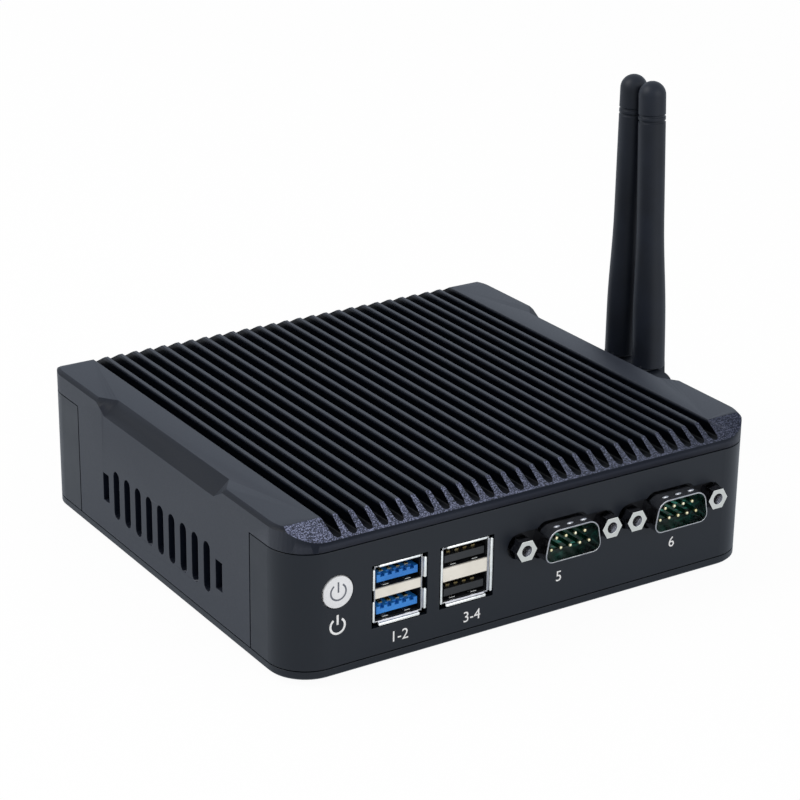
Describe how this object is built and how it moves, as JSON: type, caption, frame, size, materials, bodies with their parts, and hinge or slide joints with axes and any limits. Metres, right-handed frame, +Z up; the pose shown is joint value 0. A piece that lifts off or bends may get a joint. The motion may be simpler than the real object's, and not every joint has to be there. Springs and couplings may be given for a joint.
{
  "type": "fanless industrial pc",
  "caption": "Small fanless computer: finned cover, wrap-round panels, front socket stacks and nine-pin ports, rear ports, sprung power button and folding antennas.",
  "frame": {"origin": "in the underside of the bottom plate, at its middle, where the bracket holes' pattern is centred; the rubber feet reach 1.5 mm below it", "axes": "+X to the right along the front panel, towards the antennas; +Y from the front panel to the rear panel; +Z up"},
  "size_m": [0.1584, 0.1356, 0.1055],
  "materials": {
    "powder_coat": "fine dark powder coat with a purple-grey sparkle",
    "tin_plate": "bright plated steel",
    "steel": "plain machined steel",
    "gilt": "pale gilt",
    "black_plastic": "satin black moulding",
    "blue_plastic": "satin blue moulding",
    "pale_plastic": "satin cream moulding",
    "green_plastic": "satin dark green moulding",
    "button_plastic": "smooth silver-white",
    "antenna_plastic": "satin, slightly rubbery",
    "foot_rubber": "matte",
    "board_laminate": "satin green lacquer",
    "heat_pad": "matte, soft",
    "lead_jacket": "satin"
  },
  "bodies": {
    "case": {"analogue_jackscrews": "tin_plate", "analogue_port_insulator": "blue_plastic", "analogue_port_shell": "tin_plate", "backup_cell": "steel", "board_screws": "steel", "bottom_plate": "powder_coat", "button_guide": "black_plastic", "card_posts": "gilt", "card_screws": "steel", "card_sockets": "black_plastic", "cell_holder": "black_plastic", "corner_screws": "steel", "digital_port_insulator": "black_plastic", "digital_port_shell": "tin_plate", "fast_stack_body": "pale_plastic", "fast_stack_shell": "tin_plate", "fast_stack_tongues": "blue_plastic", "front_antenna_jack": "gilt", "front_antenna_lead": "lead_jacket", "front_coupling_nut": "antenna_plastic", "front_panel": "powder_coat", "headset_jack": "black_plastic", "heatsink_cover": "powder_coat", "inlet_centre_pin": "tin_plate", "jack_nuts": "steel", "mainboard": "board_laminate", "memory_module": "board_laminate", "memory_socket": "black_plastic", "network_can": "tin_plate", "network_contacts": "gilt", "network_moulding": "black_plastic", "power_inlet": "black_plastic", "power_switch": "black_plastic", "processor": "board_laminate", "rear_antenna_jack": "gilt", "rear_antenna_lead": "lead_jacket", "rear_coupling_nut": "antenna_plastic", "rear_panel": "powder_coat", "rubber_feet": "foot_rubber", "serial_insulators": "green_plastic", "serial_jackscrews": "tin_plate", "serial_pins": "gilt", "serial_shells": "tin_plate", "slow_stack_body": "pale_plastic", "slow_stack_shell": "tin_plate", "slow_stack_tongues": "black_plastic", "stack_contacts": "gilt", "storage_card": "board_laminate", "thermal_pad": "heat_pad", "wireless_card": "board_laminate"},
    "button": {"power_button": "button_plastic", "switch_plunger": "black_plastic"},
    "front_swivel": {"front_knuckle": "antenna_plastic", "front_hinge_pin": "steel"},
    "front_antenna": {"front_whip": "antenna_plastic"},
    "rear_swivel": {"rear_knuckle": "antenna_plastic", "rear_hinge_pin": "steel"},
    "rear_antenna": {"rear_whip": "antenna_plastic"}
  },
  "joints": [
    {"name": "button_press", "type": "slide", "parent": "case", "child": "button", "axis": [0, 1, 0], "range_m": [0, 0.0006], "stiffness_N_per_m": 1500, "springref_m": -0.0006},
    {"name": "front_swivel_turn", "type": "hinge", "parent": "case", "child": "front_swivel", "pos_m": [0.0865, 0.0045, 0.02], "axis": [1, 0, 0], "range_deg": [0, 93]},
    {"name": "front_antenna_tilt", "type": "hinge", "parent": "front_swivel", "child": "front_antenna", "pos_m": [0.0865, 0.0045, 0.02], "axis": [0, 0.9982, -0.0593], "range_deg": [0, 90]},
    {"name": "rear_swivel_turn", "type": "hinge", "parent": "case", "child": "rear_swivel", "pos_m": [0.0865, 0.0172, 0.02], "axis": [1, 0, 0], "range_deg": [-90, 0]},
    {"name": "rear_antenna_tilt", "type": "hinge", "parent": "rear_swivel", "child": "rear_antenna", "pos_m": [0.0865, 0.0172, 0.02], "axis": [0, 1, 0], "range_deg": [0, 90]}
  ]
}
